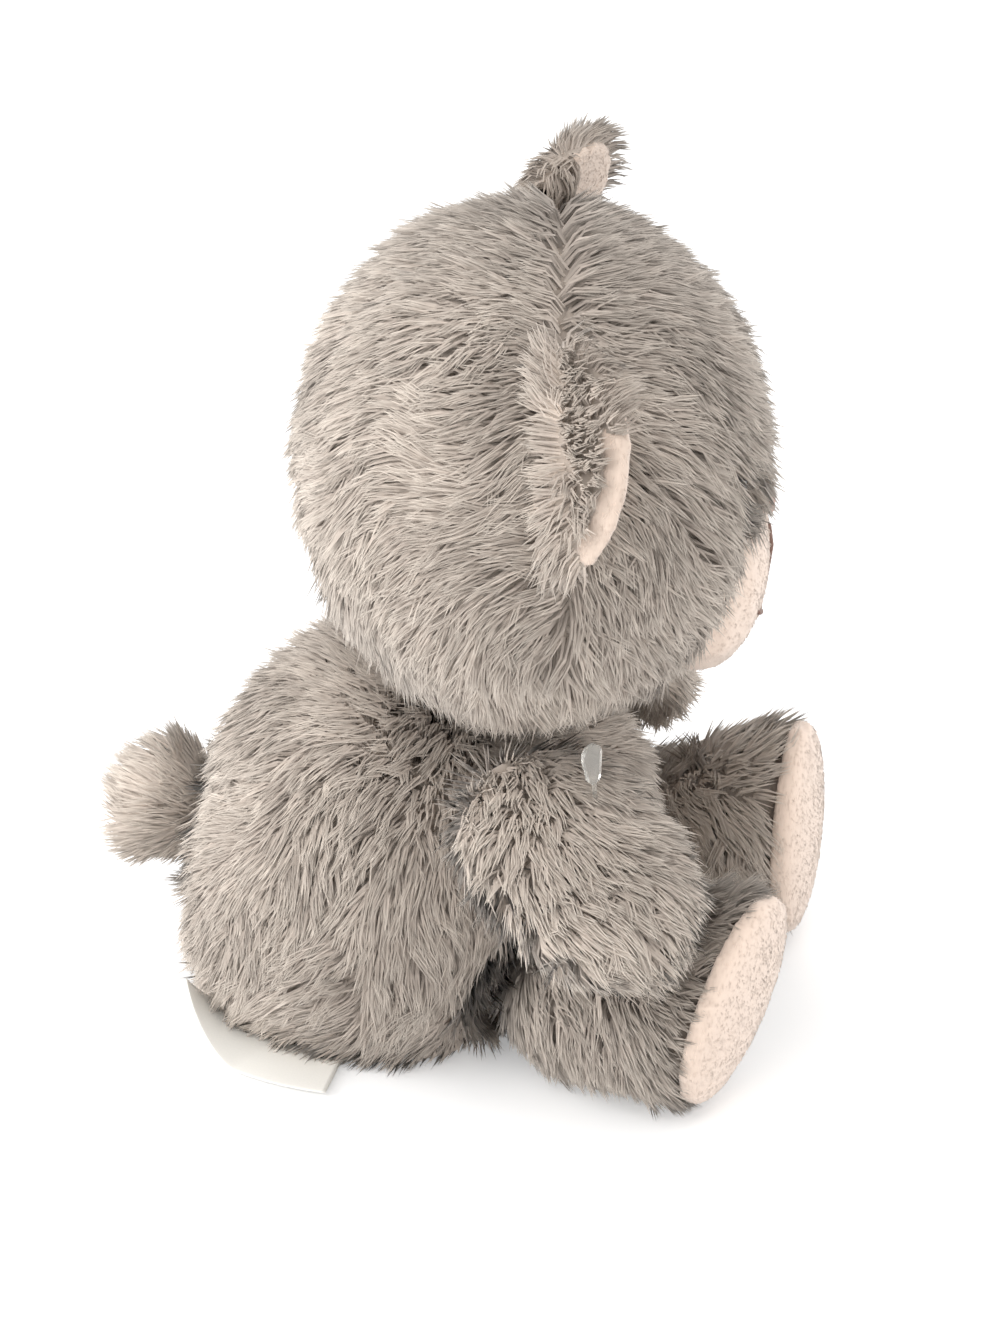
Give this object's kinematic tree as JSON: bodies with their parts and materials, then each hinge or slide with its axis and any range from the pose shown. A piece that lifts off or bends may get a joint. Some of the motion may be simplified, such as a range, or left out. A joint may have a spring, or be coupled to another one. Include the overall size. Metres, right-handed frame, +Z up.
{
  "type": "plush teddy bear",
  "caption": "Seated soft toy bear in grey long-pile fur with cream velour muzzle, ear linings and soles, round tail, sewn limbs, turning head, pellet-weighted seat and blank seam label.",
  "frame": {"origin": "middle of the flat seat face that the bear rests on", "axes": "+Z up through the torso to the head, the bear faces -Y, its left side is +X"},
  "size_m": [0.1303, 0.1337, 0.1572],
  "materials": {
    "grey_fur": "long pile fur fabric, combed, pale tips over darker roots",
    "cream_velour": "short brushed velour",
    "fibrefill": "loose polyester fibrefill",
    "pouch_cloth": "plain woven lining",
    "pellets": "loose plastic pellets",
    "thread": "twisted sewing thread",
    "ribbon": "satin ribbon, blank",
    "nylon": "clear moulded nylon",
    "eye_plastic": "polished dark brown",
    "nose_plastic": "satin dusty rose",
    "washer_plastic": "plain moulded"
  },
  "bodies": {
    "torso": {"torso_front_panel": "grey_fur", "torso_back_left_panel": "grey_fur", "torso_back_right_panel": "grey_fur", "seat_panel": "grey_fur", "torso_stuffing": "fibrefill", "pellet_pouch": "pouch_cloth", "pellet_fill": "pellets", "seam_label": "ribbon"},
    "neck": {"neck_stitching": "thread"},
    "head": {"face_panel": "grey_fur", "head_back_left_panel": "grey_fur", "head_back_right_panel": "grey_fur", "muzzle_panel": "cream_velour", "head_stuffing": "fibrefill", "mouth_stitch": "thread", "left_eye": "eye_plastic", "right_eye": "eye_plastic", "left_eye_washer": "washer_plastic", "right_eye_washer": "washer_plastic", "nose": "nose_plastic", "nose_washer": "washer_plastic"},
    "left_ear": {"left_ear_lining": "cream_velour", "left_ear_back": "grey_fur"},
    "right_ear": {"right_ear_lining": "cream_velour", "right_ear_back": "grey_fur"},
    "left_arm": {"left_arm_outer_panel": "grey_fur", "left_arm_inner_panel": "grey_fur", "left_arm_stuffing": "fibrefill"},
    "right_arm": {"right_arm_outer_panel": "grey_fur", "right_arm_inner_panel": "grey_fur", "right_arm_stuffing": "fibrefill", "tag_pin": "nylon"},
    "left_leg": {"left_leg_outer_panel": "grey_fur", "left_leg_inner_panel": "grey_fur", "left_sole": "cream_velour", "left_leg_stuffing": "fibrefill"},
    "right_leg": {"right_leg_outer_panel": "grey_fur", "right_leg_inner_panel": "grey_fur", "right_sole": "cream_velour", "right_leg_stuffing": "fibrefill"},
    "tail": {"tail_left_panel": "grey_fur", "tail_right_panel": "grey_fur", "tail_stuffing": "fibrefill"}
  },
  "joints": [
    {"name": "head_turn", "type": "hinge", "parent": "torso", "child": "neck", "pos_m": [0, -0.00949, 0.06927], "axis": [0, -0.2562, 0.9666], "range_deg": [-30, 30], "stiffness_Nm_per_rad": 0.25},
    {"name": "head_nod", "type": "hinge", "parent": "neck", "child": "head", "pos_m": [0, -0.00949, 0.06927], "axis": [1, 0, 0], "range_deg": [-6, 6], "stiffness_Nm_per_rad": 0.5},
    {"name": "left_ear_fold", "type": "hinge", "parent": "head", "child": "left_ear", "pos_m": [0.04396, -0.01379, 0.14052], "axis": [-0.6756, -0.1683, 0.7178], "range_deg": [-12, 12], "stiffness_Nm_per_rad": 0.003},
    {"name": "right_ear_fold", "type": "hinge", "parent": "head", "child": "right_ear", "pos_m": [-0.04512, -0.03686, 0.1344], "axis": [-0.5745, -0.1555, -0.8036], "range_deg": [-12, 12], "stiffness_Nm_per_rad": 0.003},
    {"name": "left_arm_swing", "type": "hinge", "parent": "torso", "child": "left_arm", "pos_m": [0.02868, -0.02266, 0.0553], "axis": [-0.6301, 0.5031, -0.5915], "range_deg": [-30, 18], "stiffness_Nm_per_rad": 0.06},
    {"name": "right_arm_swing", "type": "hinge", "parent": "torso", "child": "right_arm", "pos_m": [-0.02868, -0.02266, 0.0553], "axis": [-0.5505, -0.3278, 0.7678], "range_deg": [-60, 3], "stiffness_Nm_per_rad": 0.06},
    {"name": "left_leg_swing", "type": "hinge", "parent": "torso", "child": "left_leg", "pos_m": [0.03225, -0.03098, 0.0153], "axis": [0, 0, -1], "range_deg": [-10, 10], "stiffness_Nm_per_rad": 0.06},
    {"name": "right_leg_swing", "type": "hinge", "parent": "torso", "child": "right_leg", "pos_m": [-0.02337, -0.03282, 0.0153], "axis": [0, 0, 1], "range_deg": [-1, 10], "stiffness_Nm_per_rad": 0.06},
    {"name": "tail_wag", "type": "hinge", "parent": "torso", "child": "tail", "pos_m": [0, 0.04638, 0.03052], "axis": [0, -0.3746, 0.9272], "range_deg": [-15, 15], "stiffness_Nm_per_rad": 0.02}
  ]
}
